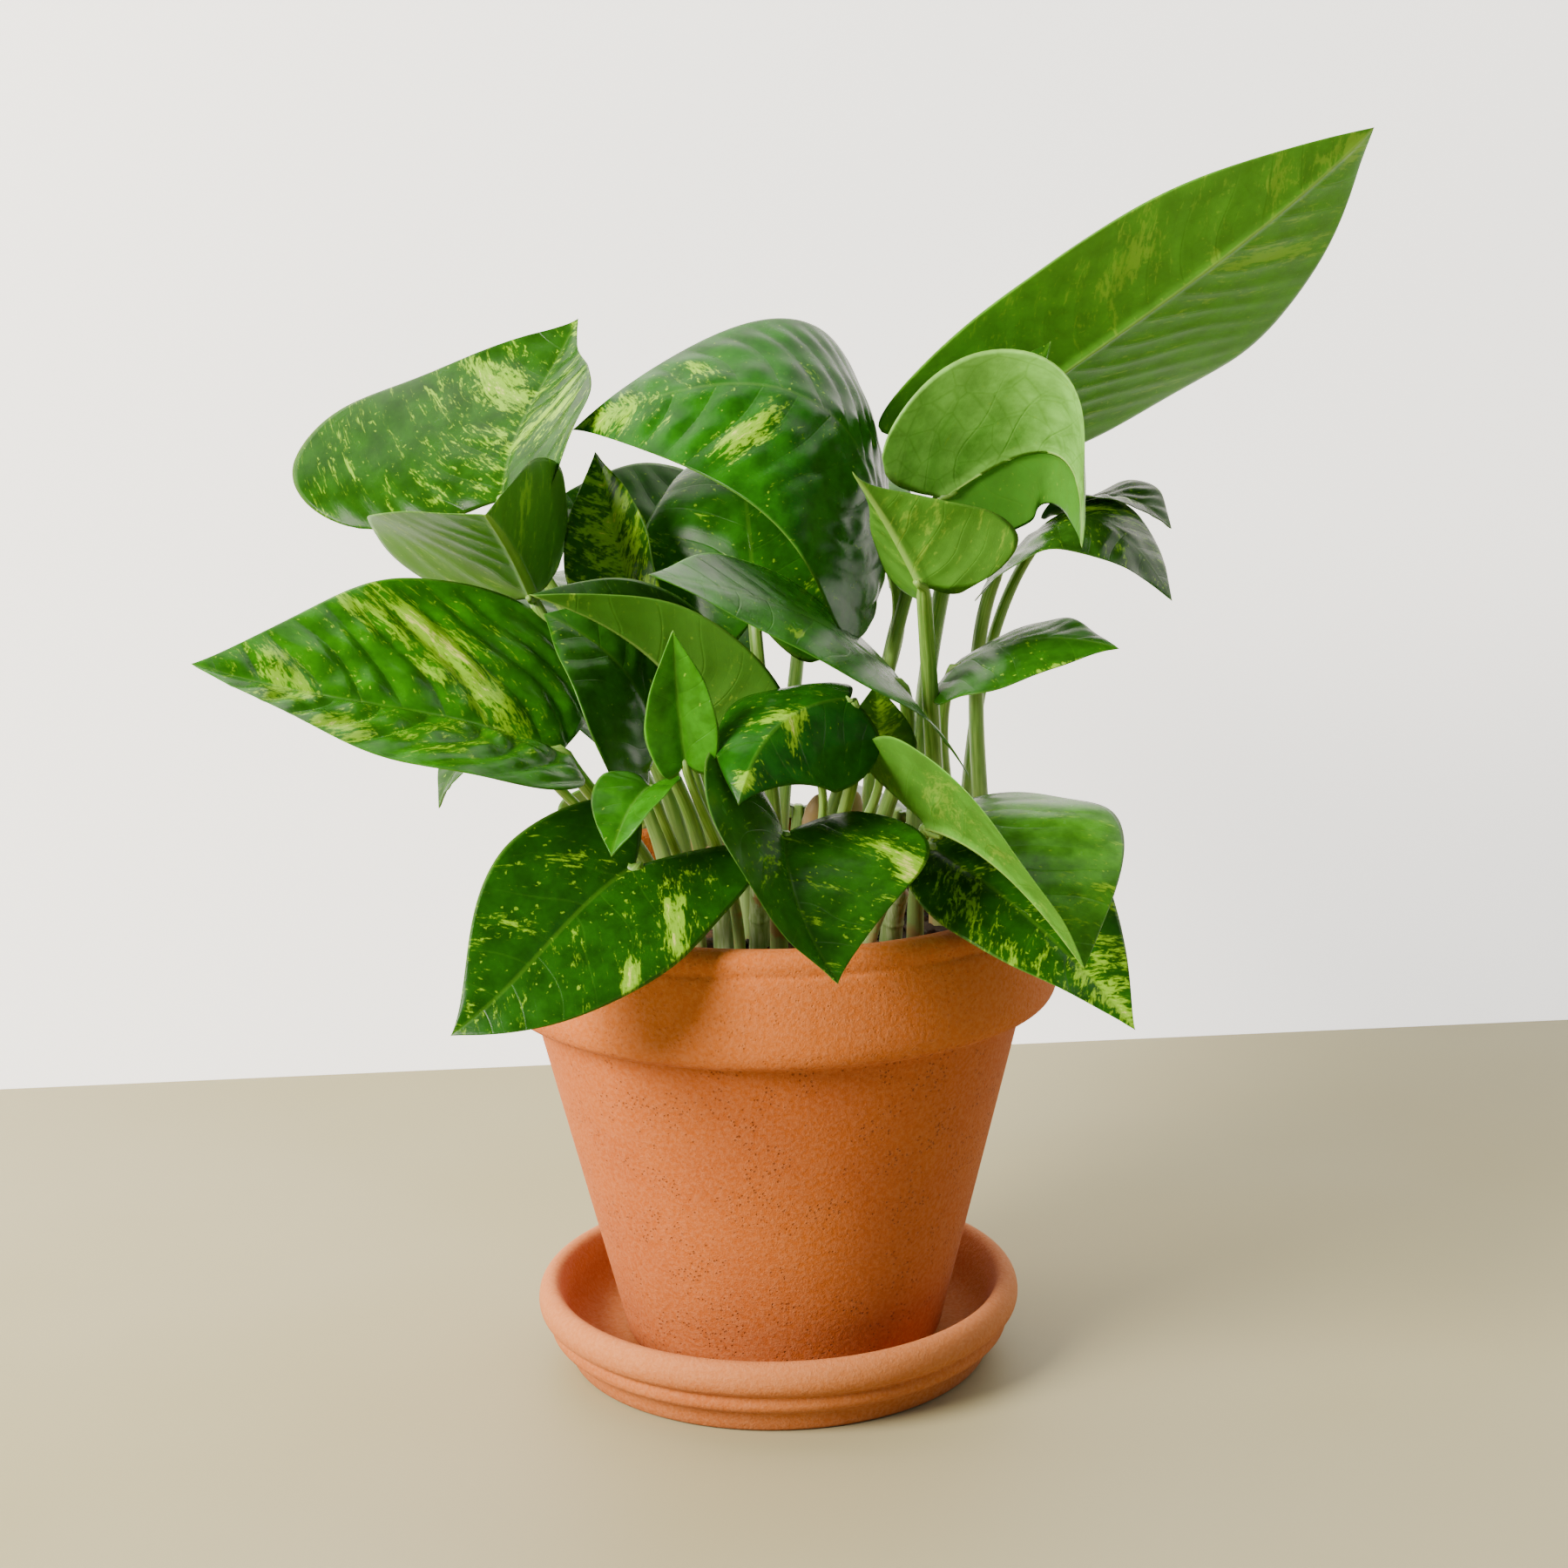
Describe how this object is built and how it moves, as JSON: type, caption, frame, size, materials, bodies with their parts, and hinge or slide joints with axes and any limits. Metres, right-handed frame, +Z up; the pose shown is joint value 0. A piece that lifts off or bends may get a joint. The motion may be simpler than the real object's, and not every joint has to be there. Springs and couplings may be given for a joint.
{
  "type": "potted plant",
  "caption": "Leafy trailing houseplant with heart-shaped marbled leaves, rooted in soil in a tapered clay pot that stands in a round saucer.",
  "frame": {"origin": "on the ground plane, at the centre of the saucer's flat underside", "axes": "+Z up along the saucer's axis, -Y towards the side seen in front, +X to the right as seen from the front"},
  "size_m": [0.299, 0.24, 0.329],
  "materials": {
    "terracotta_saucer": "matte fired clay, paler and a little dusty",
    "terracotta_pot": "matte fired clay with fine grain and pits",
    "soil": "matte crumbly potting soil with bark",
    "leaf": "waxy leaf, green with cream and yellow marbling, paler beneath",
    "young_leaf": "waxy light green young leaf",
    "stem": "smooth pale green stem with tan sheaths"
  },
  "bodies": {
    "root": {"saucer": "terracotta_saucer", "pot": "terracotta_pot", "soil": "soil", "stem_back_left": "stem", "stem_back_right": "stem", "stem_centre": "stem", "stem_front": "stem", "stem_front_left": "stem", "stem_front_right": "stem", "leaf_back_high": "leaf", "leaf_back_high_left": "leaf", "leaf_back_left": "leaf", "leaf_back_right": "leaf", "leaf_back_rim_left": "leaf", "leaf_back_rim_right": "leaf", "leaf_behind_left": "leaf", "leaf_behind_right": "leaf", "leaf_big_left": "leaf", "leaf_front_curled": "leaf", "leaf_front_left": "leaf", "leaf_front_middle": "leaf", "leaf_front_right": "leaf", "leaf_front_right_folded": "leaf", "leaf_left_hanging": "leaf", "leaf_left_shaded": "leaf", "leaf_left_upright": "leaf", "leaf_left_upturned": "leaf", "leaf_middle_domed": "leaf", "leaf_middle_folded": "leaf", "leaf_middle_spread": "leaf", "leaf_right_arched": "leaf", "leaf_right_drooping": "leaf", "leaf_right_funnel": "leaf", "leaf_right_low": "leaf", "leaf_right_small": "leaf", "leaf_small_pointed": "leaf", "leaf_small_speckled": "leaf", "leaf_tall_right": "leaf", "leaf_top_left": "leaf", "leaf_top_middle": "leaf", "leaf_young_low": "young_leaf", "leaf_young_upright": "young_leaf"}
  },
  "joints": []
}
